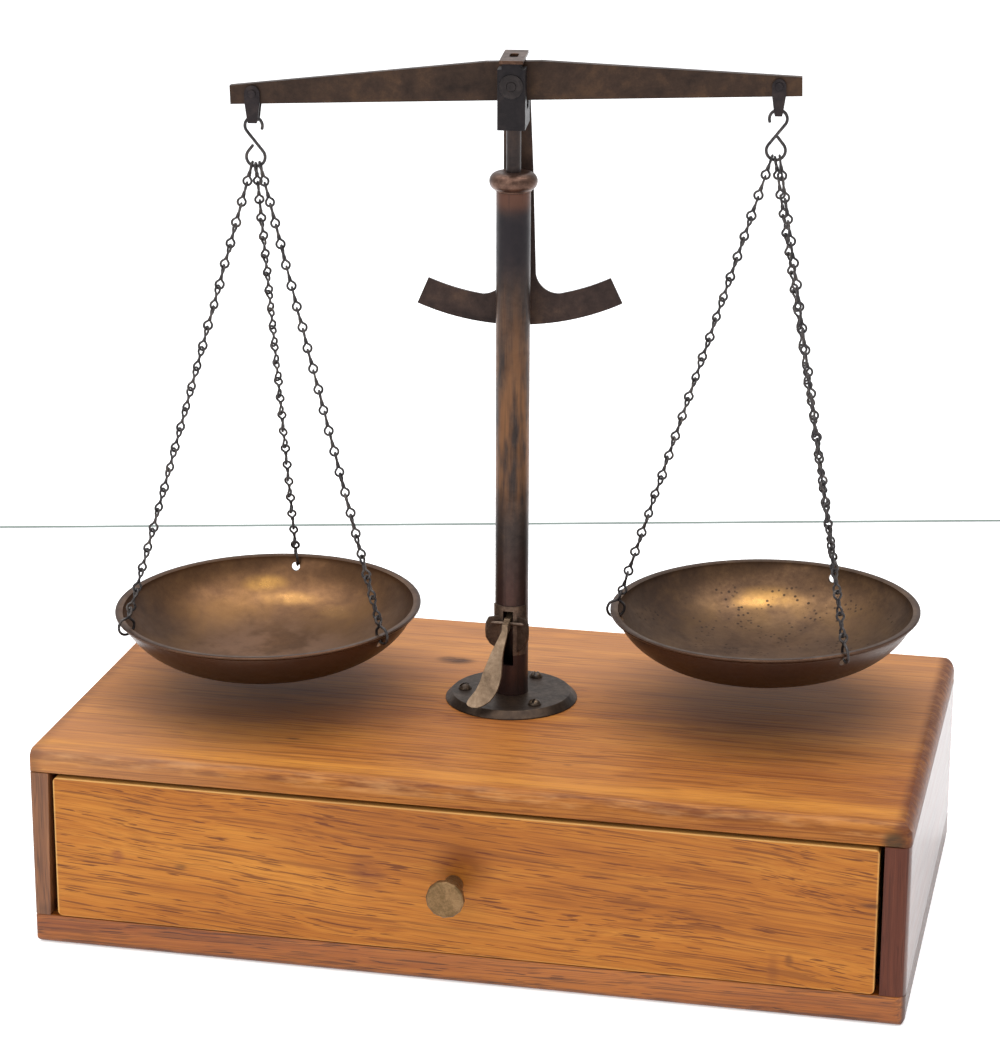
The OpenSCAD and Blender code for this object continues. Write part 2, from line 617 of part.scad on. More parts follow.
module pan_left() { color(c_pan) pan(rim_l, lean_l, az_l); }
module pan_right() { color(c_pan) pan(rim_r, lean_r, az_r); }

function hook_at(c, l, a) = leant([hook_r * cos(a), hook_r * sin(a), hook_z], c, l);
// the three top rings sit side by side on the S-hook's foot
ring_up = wire_r + link_rw + link_gap;
function perch(f, k) = f + [k, 0, s_lo_r - ring_up - sqrt((s_lo_r - ring_up) * (s_lo_r - ring_up) - k * k)];

module chain_left_side() { color(c_wire) at_head() chain(perch(foot_l, -1.35), hook_at(rim_l, lean_l, az_l[0]), az_l[0]); }
module chain_left_rear() { color(c_wire) at_head() chain(perch(foot_l, 0), hook_at(rim_l, lean_l, az_l[1]), az_l[1]); }
module chain_left_front() { color(c_wire) at_head() chain(perch(foot_l, 1.35), hook_at(rim_l, lean_l, az_l[2]), az_l[2]); }
module chain_right_side() { color(c_wire) at_head() chain(perch(foot_r, -1.35), hook_at(rim_r, lean_r, az_r[0]), az_r[0]); }
module chain_right_rear() { color(c_wire) at_head() chain(perch(foot_r, 0), hook_at(rim_r, lean_r, az_r[1]), az_r[1]); }
module chain_right_front() { color(c_wire) at_head() chain(perch(foot_r, 1.35), hook_at(rim_r, lean_r, az_r[2]), az_r[2]); }
module pan_hooks_left() {
  color(c_wire) at_head() for (i = [0 : 2]) pan_hook(perch(foot_l, [-1.35, 0, 1.35][i]), hook_at(rim_l, lean_l, az_l[i]));
}
module pan_hooks_right() {
  color(c_wire) at_head() for (i = [0 : 2]) pan_hook(perch(foot_r, [-1.35, 0, 1.35][i]), hook_at(rim_r, lean_r, az_r[i]));
}

top_board();
bottom_board();
side_left();
side_right();
back_board();
drawer_front();
drawer_side_left();
drawer_side_right();
drawer_back();
drawer_bottom();
drawer_knob();
knob_screw();
flange_plate();
flange_screws();
column_tube();
column_collar();
lever_bracket();
lever_pin();
lift_lever();
lift_rod();
rod_guide();
fork_block();
fork_cap();
fork_bushes();
beam();
pivot_arbor();
pointer();
end_pins();
stirrup_left();
stirrup_right();
s_hook_left();
s_hook_right();
chain_left_side();
chain_left_rear();
chain_left_front();
chain_right_side();
chain_right_rear();
chain_right_front();
pan_hooks_left();
pan_hooks_right();
pan_left();
pan_right();
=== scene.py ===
import json
import math
import random

import bmesh
import bpy
from mathutils import Matrix, Vector

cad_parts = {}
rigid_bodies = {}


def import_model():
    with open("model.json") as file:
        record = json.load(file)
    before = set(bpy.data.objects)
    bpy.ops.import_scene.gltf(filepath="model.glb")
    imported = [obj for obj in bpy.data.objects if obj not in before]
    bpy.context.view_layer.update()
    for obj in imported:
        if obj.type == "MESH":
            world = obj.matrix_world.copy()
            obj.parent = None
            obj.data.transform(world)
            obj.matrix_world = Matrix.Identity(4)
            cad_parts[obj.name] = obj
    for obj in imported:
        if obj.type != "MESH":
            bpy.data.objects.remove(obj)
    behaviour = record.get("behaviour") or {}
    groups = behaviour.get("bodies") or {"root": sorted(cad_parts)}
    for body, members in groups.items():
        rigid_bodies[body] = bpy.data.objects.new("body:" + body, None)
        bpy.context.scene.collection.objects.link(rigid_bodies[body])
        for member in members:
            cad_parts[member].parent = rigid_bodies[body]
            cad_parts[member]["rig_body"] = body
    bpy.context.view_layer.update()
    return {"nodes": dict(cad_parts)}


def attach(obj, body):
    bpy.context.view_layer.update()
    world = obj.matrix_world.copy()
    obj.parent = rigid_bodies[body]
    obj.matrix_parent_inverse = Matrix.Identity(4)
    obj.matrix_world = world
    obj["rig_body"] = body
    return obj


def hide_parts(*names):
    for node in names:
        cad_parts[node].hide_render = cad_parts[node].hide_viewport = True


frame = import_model()
NODES = frame["nodes"]
MM = 0.001
scene = bpy.context.scene
scene.view_settings.view_transform = "Standard"
scene.view_settings.look = "None"

# ---------------------------------------------------------------- sizes, in mm, as in the CAD
COL = (-0.8, 4.8)
YAW = math.radians(7.5)
TILT = math.radians(1.8)
ARM, PIVOT_Z, END_Z = 84.2, 276.6, -2.4
BAR_DROP, BAR_R, WIRE = 9.0, 0.55, 0.52
S_UP, S_LO, S_DIST, S_OFF = 2.85, 3.05, 10.15, 0.5
S_TOP = BAR_R + 0.04 + WIRE - S_UP
S_FOOT = S_TOP - S_DIST - S_LO
LINK_W, LINK_M, GAP = 0.42, 1.34, 0.05
HOOK_W, HOOK_M, HOOK_S, HOOK_C, HOOK_R, HOOK_Z = 0.50, 2.95, 1.3, 5.1, 49.6, -0.2
PAN_R, PAN_H, LINKS = 51.45, 19.4, 22
DISH_R, PAN_T = PAN_R - 1.7, 0.8
HW, HD, BASE_H = 142.5, 78.0, 67.6

END_L = (-ARM * math.cos(TILT) - END_Z * math.sin(TILT), PIVOT_Z - ARM * math.sin(TILT) + END_Z * math.cos(TILT))
END_R = (ARM * math.cos(TILT) - END_Z * math.sin(TILT), PIVOT_Z + ARM * math.sin(TILT) + END_Z * math.cos(TILT))
FOOT_L = (END_L[0] + S_OFF, END_L[1] - BAR_DROP + S_FOOT)
FOOT_R = (END_R[0] - S_OFF, END_R[1] - BAR_DROP + S_FOOT)
LEAN_L = (math.radians(1.4), math.radians(-0.8))
LEAN_R = (math.radians(0.4), math.radians(-1.0))
RIM_L = (FOOT_L[0] + 1.2, FOOT_L[1] - 149.6)
RIM_R = (FOOT_R[0] + 0.8, FOOT_R[1] - 150.9)
AZ_L = [-152.5, 87.5, -32.5]
AZ_R = [-178.5, 61.5, -58.5]

HEAD = Matrix.Translation((COL[0], COL[1], 0)) @ Matrix.Rotation(YAW, 4, "Z")
BEAM = HEAD @ Matrix.Translation((0, 0, PIVOT_Z)) @ Matrix.Rotation(-TILT, 4, "Y")


def lin(r, g, b):
    """sRGB 0-255 to linear."""
    return tuple((c / 12.92 if c <= 0.04045 else ((c + 0.055) / 1.055) ** 2.4) for c in (r / 255, g / 255, b / 255))


# ---------------------------------------------------------------- node material helper
class Mat:
    def __init__(self, name):
        self.m = bpy.data.materials.new(name)
        self.m.use_nodes = True
        self.t = self.m.node_tree
        self.t.nodes.clear()
        out = self.t.nodes.new("ShaderNodeOutputMaterial")
        self.b = self.t.nodes.new("ShaderNodeBsdfPrincipled")
        self.t.links.new(self.b.outputs[0], out.inputs[0])
        self._pos = None

    def put(self, sock, v):
        if hasattr(v, "is_linked") or isinstance(v, bpy.types.NodeSocket):
            self.t.links.new(v, sock)
        elif v is not None:
            if hasattr(sock.default_value, "__len__") and not hasattr(v, "__len__"):
                v = (v,) * len(sock.default_value)
            if hasattr(v, "__len__") and len(sock.default_value) == 4 and len(v) == 3:
                v = (*v, 1.0)
            sock.default_value = v
        return sock

    def pos(self):
        """Place on the object in mm, in the row frame."""
        if self._pos is None:
            c = self.t.nodes.new("ShaderNodeTexCoord")
            n = self.t.nodes.new("ShaderNodeVectorMath")
            n.operation = "SCALE"
            self.t.links.new(c.outputs["Object"], n.inputs[0])
            n.inputs["Scale"].default_value = 1000.0
            self._pos = n.outputs[0]
        return self._pos

    def map(self, vec, scale=(1, 1, 1), rot=(0, 0, 0), loc=(0, 0, 0)):
        n = self.t.nodes.new("ShaderNodeMapping")
        self.t.links.new(vec, n.inputs["Vector"])
        n.inputs["Scale"].default_value = scale
        n.inputs["Rotation"].default_value = [math.radians(a) for a in rot]
        n.inputs["Location"].default_value = loc
        return n.outputs[0]

    def noise(self, vec, scale=1.0, detail=2.0, rough=0.5, dist=0.0, color=False):
        n = self.t.nodes.new("ShaderNodeTexNoise")
        self.t.links.new(vec, n.inputs["Vector"])
        n.inputs["Scale"].default_value = scale
        n.inputs["Detail"].default_value = detail
        n.inputs["Roughness"].default_value = rough
        n.inputs["Distortion"].default_value = dist
        return n.outputs["Color" if color else "Fac"]

    def voronoi(self, vec, scale=1.0, rand=1.0, feature="F1"):
        n = self.t.nodes.new("ShaderNodeTexVoronoi")
        n.feature = feature
        self.t.links.new(vec, n.inputs["Vector"])
        n.inputs["Scale"].default_value = scale
        n.inputs["Randomness"].default_value = rand
        return n.outputs["Distance"]

    def ramp(self, fac, stops, interp="LINEAR"):
        n = self.t.nodes.new("ShaderNodeValToRGB")
        n.color_ramp.interpolation = interp
        self.t.links.new(fac, n.inputs[0])
        e = n.color_ramp.elements
        while len(e) < len(stops):
            e.new(0.5)
        for k, (p, c) in zip(e, stops):
            k.position = p
            k.color = (*c, 1.0) if len(c) == 3 else c
        return n.outputs[0]

    def rng(self, v, a, b, c=0.0, d=1.0, smooth=True):
        n = self.t.nodes.new("ShaderNodeMapRange")
        n.interpolation_type = "SMOOTHSTEP" if smooth else "LINEAR"
        self.put(n.inputs["Value"], v)
        for k, x in (("From Min", a), ("From Max", b), ("To Min", c), ("To Max", d)):
            n.inputs[k].default_value = x
        return n.outputs[0]

    def math(self, op, a, b=None, c=None, clamp=False):
        n = self.t.nodes.new("ShaderNodeMath")
        n.operation = op
        n.use_clamp = clamp
        for i, v in enumerate((a, b, c)):
            if v is not None:
                self.put(n.inputs[i], v)
        return n.outputs[0]

    def mul(self, *vs):
        r = vs[0]
        for v in vs[1:]:
            r = self.math("MULTIPLY", r, v)
        return r

    def add(self, *vs):
        r = vs[0]
        for v in vs[1:]:
            r = self.math("ADD", r, v)
        return r

    def mix(self, fac, a, b, blend="MIX"):
        n = self.t.nodes.new("ShaderNodeMix")
        n.data_type = "RGBA"
        n.blend_type = blend
        self.put(n.inputs[0], fac)
        self.put(n.inputs[6], a)
        self.put(n.inputs[7], b)
        return n.outputs[2]

    def sep(self, vec):
        n = self.t.nodes.new("ShaderNodeSeparateXYZ")
        self.t.links.new(vec, n.inputs[0])
        return n.outputs[0], n.outputs[1], n.outputs[2]

    def comb(self, x, y, z):
        n = self.t.nodes.new("ShaderNodeCombineXYZ")
        for i, v in enumerate((x, y, z)):
            self.put(n.inputs[i], v)
        return n.outputs[0]

    def vadd(self, a, b):
        n = self.t.nodes.new("ShaderNodeVectorMath")
        n.operation = "ADD"
        self.put(n.inputs[0], a)
        self.put(n.inputs[1], b)
        return n.outputs[0]

    def bump(self, height, strength=0.5, dist=0.1, normal=None):
        """dist in mm"""
        n = self.t.nodes.new("ShaderNodeBump")
        n.inputs["Strength"].default_value = strength
        n.inputs["Distance"].default_value = dist * MM
        self.put(n.inputs["Height"], height)
        if normal is not None:
            self.t.links.new(normal, n.inputs["Normal"])
        return n.outputs[0]

    def spot(self, p, centre, radius, soft=0.5, squeeze=(1, 1, 1)):
        """1 inside a soft spot on the surface."""
        q = self.map(p, squeeze, loc=[-c * s for c, s in zip(centre, squeeze)])
        n = self.t.nodes.new("ShaderNodeVectorMath")
        n.operation = "LENGTH"
        self.t.links.new(q, n.inputs[0])
        return self.rng(n.outputs["Value"], radius * (1 - soft), radius * (1 + soft), 1.0, 0.0)

    def set(self, **kw):
        for k, v in kw.items():
            self.put(self.b.inputs[k.replace("_", " ")], v)
        return self.m


# ---------------------------------------------------------------- woods
def wood(name, dark, mid, light, pore, grain="x", seed=0.0, slope=0.0, pore_amount=1.0, pore_len=7.0, pore_wid=0.42,
         coat=0.1, coat_rough=0.25, rough=0.5, band=1.0, spec=0.25, fineness=1.0, hair=0.0, hair_w=0.42, sway=7.0, extra=None):
    w = Mat(name)
    p = w.pos()
    turn = {"x": (0, slope, 0), "y": (0, 0, 90), "z": (0, 90, 0)}[grain]
    g = w.map(p, rot=turn, loc=(seed * 37.0, seed * 91.0, seed * 53.0))
    # the fibres wander a little
    wander = w.noise(w.map(g, (1 / 90, 1 / 40, 1 / 40)), 1.0, 2, 0.5)
    off = w.math("MULTIPLY", w.math("SUBTRACT", wander, 0.5), sway)
    g = w.vadd(g, w.comb(0.0, off, off))
    k = fineness
    bands = w.noise(w.map(g, (1 / 260, k / 9, k / 9)), 1.0, 3, 0.55)
    fibres = w.noise(w.map(g, (1 / 34, k / 1.1, k / 1.1)), 1.0, 3, 0.6)
    fine = w.noise(w.map(g, (1 / 16, 1 / 0.35, 1 / 0.35)), 1.0, 2, 0.6)
    clouds = w.noise(w.map(g, (1 / 70, 1 / 30, 1 / 30)), 1.0, 3, 0.6)
    tone = w.add(w.mul(bands, 0.42 * band), w.mul(fibres, 0.34), w.mul(fine, 0.12), w.mul(clouds, 0.26))
    tone = w.rng(tone, 0.40, 0.74, smooth=False)
    col = w.ramp(tone, [(0.0, dark), (0.42, mid), (1.0, light)])
    # pores: short dark dashes, in groups
    dash = w.noise(w.map(g, (1 / pore_len, 1 / pore_wid, 1 / pore_wid)), 1.0, 1.5, 0.45)
    group = w.noise(w.map(g, (1 / 48, 1 / 3.2, 1 / 3.2), loc=(5, 9, 3)), 1.0, 2, 0.5)
    pores = w.mul(w.rng(dash, 0.585, 0.655), w.rng(group, 0.40, 0.56, 0.08, 1.0), pore_amount)
    long_dash = w.noise(w.map(g, (1 / 34, 1 / 0.8, 1 / 0.8), loc=(3, 1, 7)), 1.0, 1, 0.4)
    longs = w.mul(w.rng(long_dash, 0.62, 0.70), 0.7 * pore_amount)
    line = w.noise(w.map(g, (1 / 150, 1 / 1.3, 1 / 1.3), loc=(8, 2, 5)), 1.0, 1, 0.4)
    lines = w.mul(w.rng(line, 0.60, 0.70), 0.45 * pore_amount)
    m = w.math("MAXIMUM", w.math("MAXIMUM", pores, longs), lines, clamp=True)
    if hair:
        # thin crisp lines close together
        thin = w.noise(w.map(g, (1 / 60, 1 / hair_w, 1 / 0.42), loc=(2, 6, 4)), 1.0, 1, 0.4)
        m = w.math("MAXIMUM", m, w.mul(w.rng(thin, 0.54, 0.64), hair), clamp=True)
    col = w.mix(w.mul(m, 0.78), col, pore)
    r = w.rng(fibres, 0.3, 0.7, rough - 0.05, rough + 0.06, smooth=False)
    n = w.bump(w.math("SUBTRACT", w.mul(fine, 0.25), m), 0.35, 0.12)
    n = w.bump(clouds, 0.25, 0.5, n)
    if extra:
        col, r = extra(w, p, col, r)
    w.set(Base_Color=col, Roughness=r, Normal=n)
    w.b.inputs["Coat Weight"].default_value = coat
    w.b.inputs["Coat Roughness"].default_value = coat_rough
    w.b.inputs["Specular IOR Level"].default_value = spec
    return w.m


def top_wear(w, p, col, r):
    x, y, z = w.sep(p)
    # rubbed, dirty line along the rounded front edge and the ends
    n1 = w.noise(w.map(p, (1 / 26, 1 / 5, 1 / 5)), 1.0, 3, 0.6)
    n2 = w.noise(w.map(p, (1 / 9, 1 / 2.2, 1 / 2.2)), 1.0, 3, 0.6)
    front = w.mul(w.rng(z, 63.0, 65.0), w.rng(z, 66.6, 67.6, 1.0, 0.2), w.rng(y, -HD + 6.0, -HD + 3.0))
    dirt = w.mul(front, w.rng(n1, 0.40, 0.58), w.rng(n2, 0.30, 0.6, 0.35, 1.0))
    col = w.mix(w.mul(dirt, 0.75), col, lin(92, 48, 26))
    # pale worn patches between the dirt
    n3 = w.noise(w.map(p, (1 / 17, 1 / 4, 1 / 3), loc=(3.0, 0.0, 7.0)), 1.0, 3, 0.6)
    worn = w.mul(w.rng(z, 62.4, 63.6), w.rng(z, 66.4, 67.4, 1.0, 0.3), w.rng(y, -HD + 5.0, -HD + 2.5), w.rng(n3, 0.42, 0.72))
    col = w.mix(w.mul(worn, 0.3), col, lin(206, 152, 98))
    # browner field in the middle
    n4 = w.noise(w.map(p, (1 / 70, 1 / 30, 1.0)), 1.0, 2, 0.5)
    col = w.mix(w.mul(w.rng(n4, 0.42, 0.62), w.rng(y, -HD + 8.0, -HD + 22.0), 0.35), col, lin(126, 72, 38))
    # painted reflection: the wood made paler towards the back, near the right end and at the left end, standing in for
    # glare from the bright surroundings
    painted_glare = w.math("MAXIMUM", w.rng(y, -15.0, 48.0), w.math("MAXIMUM", w.mul(w.rng(x, 80.0, 120.0), w.rng(y, -30.0, 10.0), 0.6), w.mul(w.rng(x, -50.0, -115.0), 0.75)))
    col = w.mix(w.mul(painted_glare, 0.18), col, lin(220, 174, 134))
    # golden strip just behind the edge
    gold = w.mul(w.rng(y, -HD + 3.5, -HD + 6.5), w.rng(y, -HD + 9.0, -HD + 16.0, 1.0, 0.0), w.rng(z, 66.8, 67.4), w.rng(n1, 0.30, 0.62, 0.3, 1.0))
    col = w.mix(w.mul(gold, 0.4), col, lin(200, 136, 56))
    # painted shade: the rounding at the right end made darker brown
    right = w.mul(w.rng(x, HW - 6.5, HW - 2.5), w.rng(n2, 0.3, 0.6, 0.55, 1.0))
    col = w.mix(w.mul(right, 0.85), col, lin(78, 40, 26))
    left = w.mul(w.rng(x, -HW + 5.0, -HW + 1.0), w.rng(n2, 0.3, 0.6, 0.3, 1.0))
    col = w.mix(w.mul(left, 0.4), col, lin(90, 58, 42))
    corner = w.mul(w.spot(p, (HW - 5.5, -HD, 61.6), 3.2, 0.6, (1.0, 0.6, 1.0)), w.rng(n2, 0.25, 0.55, 0.6, 1.0))
    col = w.mix(w.mul(corner, 0.85), col, lin(50, 42, 30))
    # ink spot and small marks
    for c, rad, sq, k in (((-27.5, 36.5, 67.6), 5.5, (1, 1.7, 1), 0.85), ((-62.0, -49.0, 67.6), 1.6, (0.7, 2.2, 1), 0.6),
                          ((30.0, -52.0, 67.6), 1.2, (0.8, 1.6, 1), 0.4), ((95.0, -24.0, 67.6), 2.2, (0.5, 2.0, 1), 0.3)):
        s = w.mul(w.spot(p, c, rad, 0.6, sq), w.rng(n2, 0.35, 0.6, 0.4, 1.0))
        col = w.mix(w.mul(s, k), col, lin(50, 32, 28))
    return col, r


def drawer_wear(w, p, col, r):
    x, y, z = w.sep(p)
    n2 = w.noise(w.map(p, (1 / 9, 1 / 2.2, 1 / 2.2)), 1.0, 3, 0.6)
    # painted highlight: pale arris all round, brightest along the top edge, then the left, right and lower edges
    top = w.rng(z, 58.15, 58.55)
    low = w.rng(z, 10.8, 10.4)
    lft = w.rng(x, -133.9, -134.4)
    rgt = w.rng(x, 132.1, 132.6)
    arris_highlight = w.math("MAXIMUM", w.math("MAXIMUM", top, w.mul(low, 0.3)), w.math("MAXIMUM", w.mul(lft, 0.8), w.mul(rgt, 0.6)))
    col = w.mix(w.mul(arris_highlight, 0.7), col, lin(206, 160, 92))
    # stains round the knob and to its left, small marks
    for c, rad, sq, k, cc in (((2.0, -78.0, 41.5), 7.5, (1.0, 1, 1.2), 0.60, lin(84, 34, 10)),
                              ((-29.5, -78.0, 35.0), 5.5, (1.0, 1, 1.1), 0.50, lin(92, 44, 28)),
                              ((-113.5, -78.0, 33.5), 2.0, (1, 1, 1), 0.55, lin(104, 48, 34)),
                              ((-92.0, -78.0, 31.5), 1.1, (0.6, 1, 1.2), 0.75, lin(54, 36, 20)),
                              ((106.0, -78.0, 19.0), 1.4, (1.2, 1, 0.8), 0.7, lin(80, 42, 20)),
                              ((101.0, -78.0, 15.0), 3.5, (2.2, 1, 0.7), 0.4, lin(104, 54, 24)),
                              ((131.0, -78.0, 40.0), 2.0, (0.6, 1, 2.5), 0.7, lin(66, 34, 20)),
                              ((-30.0, -78.0, 52.0), 22.0, (0.8, 1, 1.6), 0.28, lin(108, 54, 22)),
                              ((60.0, -78.0, 50.0), 30.0, (0.6, 1, 1.6), 0.20, lin(116, 60, 24))):
        s = w.mul(w.spot(p, c, rad, 0.75, sq), w.rng(n2, 0.25, 0.6, 0.45, 1.0))
        col = w.mix(w.mul(s, k), col, cc)
    # the rest of the front, inside the case, stays dull and paler
    inner = w.rng(y, -75.0, -73.0)
    col = w.mix(w.mul(inner, 0.6), col, lin(124, 88, 52))
    return col, r


def side_darker_low(w, p, col, r):
    x, y, z = w.sep(p)
    n2 = w.noise(w.map(p, (1 / 5, 1 / 5, 1 / 14)), 1.0, 3, 0.6)
    # darker towards the bottom of the board
    e = w.mul(w.rng(z, 16.0, 11.5), w.rng(n2, 0.35, 0.6, 0.4, 1.0))
    col = w.mix(w.mul(e, 0.5), col, lin(42, 26, 20))
    return col, r


def low_wear(w, p, col, r):
    x, y, z = w.sep(p)
    n2 = w.noise(w.map(p, (1 / 9, 1 / 2.2, 1 / 2.2)), 1.0, 3, 0.6)
    # the end of the board is dull and dark, and the lower arris darker
    col = w.mix(w.mul(w.rng(x, HW - 1.6, HW - 0.5), 0.95), col, lin(72, 42, 30))
    col = w.mix(w.mul(w.rng(z, 2.6, 0.8), w.rng(n2, 0.3, 0.6, 0.3, 1.0), 0.6), col, lin(58, 32, 20))
    return col, r


OAK_TOP = wood("oak_case", lin(124, 70, 31), lin(156, 97, 41), lin(190, 130, 58), lin(86, 40, 19), "x", 1.0, 0.0,
               0.55, 9.0, 0.5, coat=0.03, rough=0.46, band=0.75, spec=0.11, fineness=1.3, hair=0.65, hair_w=1.2, sway=4.0, extra=top_wear)
OAK_BOTTOM = wood("oak_case_low", lin(92, 42, 13), lin(128, 66, 18), lin(158, 92, 31), lin(54, 24, 12), "x", 2.7, 0.8,
                  1.25, 14.0, 0.50, coat=0.3, coat_rough=0.2, band=1.2, fineness=1.3, hair=0.4, extra=low_wear)
OAK_DRAWER = wood("oak_drawer", lin(130, 72, 17), lin(160, 95, 27), lin(184, 120, 42), lin(76, 31, 13), "x", 4.2, -3.6,
                  1.2, 13.0, 0.5, coat=0.06, band=1.0, spec=0.2, fineness=1.25, hair=0.3, extra=drawer_wear)
# painted light: the left side board is a lighter copy of the dark side wood, as lit from the left
DARK_LEFT_LIT = wood("dark_wood_left_lit", lin(84, 50, 31), lin(112, 70, 42), lin(144, 96, 60), lin(54, 32, 22), "z", 5.5, 0.0,
                 0.7, 12.0, 0.45, coat=0.2, fineness=1.4, hair=0.4, extra=side_darker_low)
DARK_END = wood("dark_wood_end", lin(60, 28, 18), lin(78, 38, 25), lin(98, 52, 36), lin(40, 20, 14), "z", 6.6, 0.0,
                0.5, 10.0, 0.45, coat=0.05, spec=0.15, fineness=1.3, hair=0.3)
DARK_RIGHT = wood("dark_wood", lin(62, 30, 18), lin(80, 40, 23), lin(100, 54, 34), lin(42, 22, 14), "y", 6.1, 0.0,
                  0.35, 9.0, 0.45, coat=0.55, coat_rough=0.18, spec=0.35, extra=side_darker_low)
DARK_BACK = wood("dark_wood_back", lin(62, 32, 19), lin(82, 43, 25), lin(104, 58, 36), lin(40, 21, 14), "x", 7.4, 0.0,
                 0.8, 12.0, 0.5, coat=0.2, spec=0.25, fineness=1.2, hair=0.3)
PLAIN_WOOD = wood("drawer_inner", lin(140, 104, 64), lin(162, 126, 82), lin(178, 144, 100), lin(100, 70, 42), "y", 7.3, 0.0,
                  0.8, 8.0, 0.4, coat=0.0, rough=0.65)
PLAIN_WOOD_X = wood("drawer_inner_x", lin(140, 104, 64), lin(162, 126, 82), lin(178, 144, 100), lin(100, 70, 42), "x", 8.8, 0.0,
                    0.8, 8.0, 0.4, coat=0.0, rough=0.65)


# ---------------------------------------------------------------- metals
def metal(name, dark, mid, light, metallic=0.8, rough=(0.34, 0.52), grain=8.0, seed=0.0, spots=0.0, spot_col=None, fine=0.25,
          extra=None, bump=0.05, gain=(1, 1, 1)):
    dark, mid, light = (tuple(a * b for a, b in zip(c, gain)) for c in (dark, mid, light))
    w = Mat(name)
    p = w.map(w.pos(), loc=(seed * 31, seed * 17, seed * 23))
    a = w.noise(p, 1 / grain, 4, 0.6, 0.6)
    b = w.noise(p, 1 / (grain * 0.18), 3, 0.6)
    c = w.noise(p, 1 / 0.5, 2, 0.6)
    tone = w.rng(w.add(w.mul(a, 0.62), w.mul(b, 0.26), w.mul(c, fine * 0.5)), 0.34, 0.68, smooth=False)
    col = w.ramp(tone, [(0.0, dark), (0.5, mid), (1.0, light)])
    if spots:
        v = w.voronoi(p, 1 / 2.6)
        gate = w.rng(w.noise(p, 1 / 12.0, 2, 0.5), 0.45, 0.6)
        s = w.mul(w.rng(v, 0.16, 0.30, 1.0, 0.0), gate, spots)
        col = w.mix(s, col, spot_col or dark)
    r = w.rng(w.add(w.mul(a, 0.5), w.mul(b, 0.5)), 0.35, 0.65, rough[1], rough[0], smooth=False)
    n = w.bump(w.add(w.mul(b, 0.6), w.mul(c, 0.4)), 0.5, bump)
    if extra:
        col, r, n = extra(w, w.pos(), col, r, n)
    w.set(Base_Color=col, Roughness=r, Normal=n)
    w.b.inputs["Metallic"].default_value = metallic
    return w.m


BRASS_DARK = metal("beam_brass", lin(44, 32, 26), lin(70, 52, 40), lin(98, 72, 50), 0.72, (0.36, 0.52), 16, 1.0, gain=(0.63, 0.61, 0.62))
ARC = metal("pointer_brass", lin(44, 32, 26), lin(70, 52, 40), lin(98, 72, 50), 0.72, (0.36, 0.52), 16, 1.5, gain=(0.58, 0.60, 0.76))
BLOCK = metal("fork_brass", lin(36, 32, 32), lin(50, 44, 42), lin(74, 64, 56), 0.72, (0.36, 0.52), 9, 1.8, gain=(0.44, 0.43, 0.50))
SHACKLE = metal("stirrup_brass", lin(40, 34, 34), lin(56, 48, 46), lin(74, 62, 56), 0.72, (0.40, 0.56), 6, 1.9, gain=(0.55, 0.54, 0.60))
CAP = metal("cap_copper", lin(84, 60, 48), lin(124, 92, 74), lin(164, 130, 108), 0.8, (0.30, 0.44), 6, 3.3, gain=(0.42, 0.40, 0.38))
FLANGE = metal("flange_metal", lin(62, 50, 42), lin(96, 80, 68), lin(128, 108, 90), 0.75, (0.36, 0.5), 9, 2.0, gain=(0.36, 0.32, 0.28))
COLLAR = metal("collar_copper", lin(84, 60, 48), lin(124, 92, 74), lin(164, 130, 108), 0.8, (0.28, 0.42), 6, 3.0, gain=(0.50, 0.50, 0.54))
BRACKET = metal("bracket_brass", lin(62, 50, 44), lin(100, 84, 72), lin(136, 118, 102), 0.75, (0.34, 0.5), 5, 4.0, gain=(0.75, 0.72, 0.7))
LEVER = metal("lever_brass", lin(108, 94, 74), lin(140, 124, 100), lin(172, 156, 130), 0.75, (0.34, 0.48), 7, 5.0, gain=(0.74, 0.65, 0.64))
STEEL = metal("steel_bearing", lin(42, 36, 34), lin(62, 54, 50), lin(88, 78, 72), 0.7, (0.34, 0.5), 5, 6.0, gain=(0.42, 0.42, 0.46))
SCREWS = metal("dark_screws", lin(44, 36, 30), lin(74, 60, 48), lin(116, 94, 70), 0.75, (0.32, 0.46), 3, 7.0, gain=(0.8, 0.8, 0.8))
WIRE_M = metal("chain_wire", lin(34, 32, 34), lin(58, 54, 54), lin(90, 82, 76), 0.65, (0.38, 0.55), 4, 8.0)
KNOB = metal("knob_brass", lin(90, 78, 54), lin(122, 106, 76), lin(152, 134, 104), 0.75, (0.36, 0.5), 5, 9.0, fine=0.5, bump=0.12, gain=(0.64, 0.49, 0.37))
TURNED = metal("screw_brass", lin(120, 98, 60), lin(150, 124, 80), lin(182, 154, 104), 0.85, (0.3, 0.42), 5, 10.0)


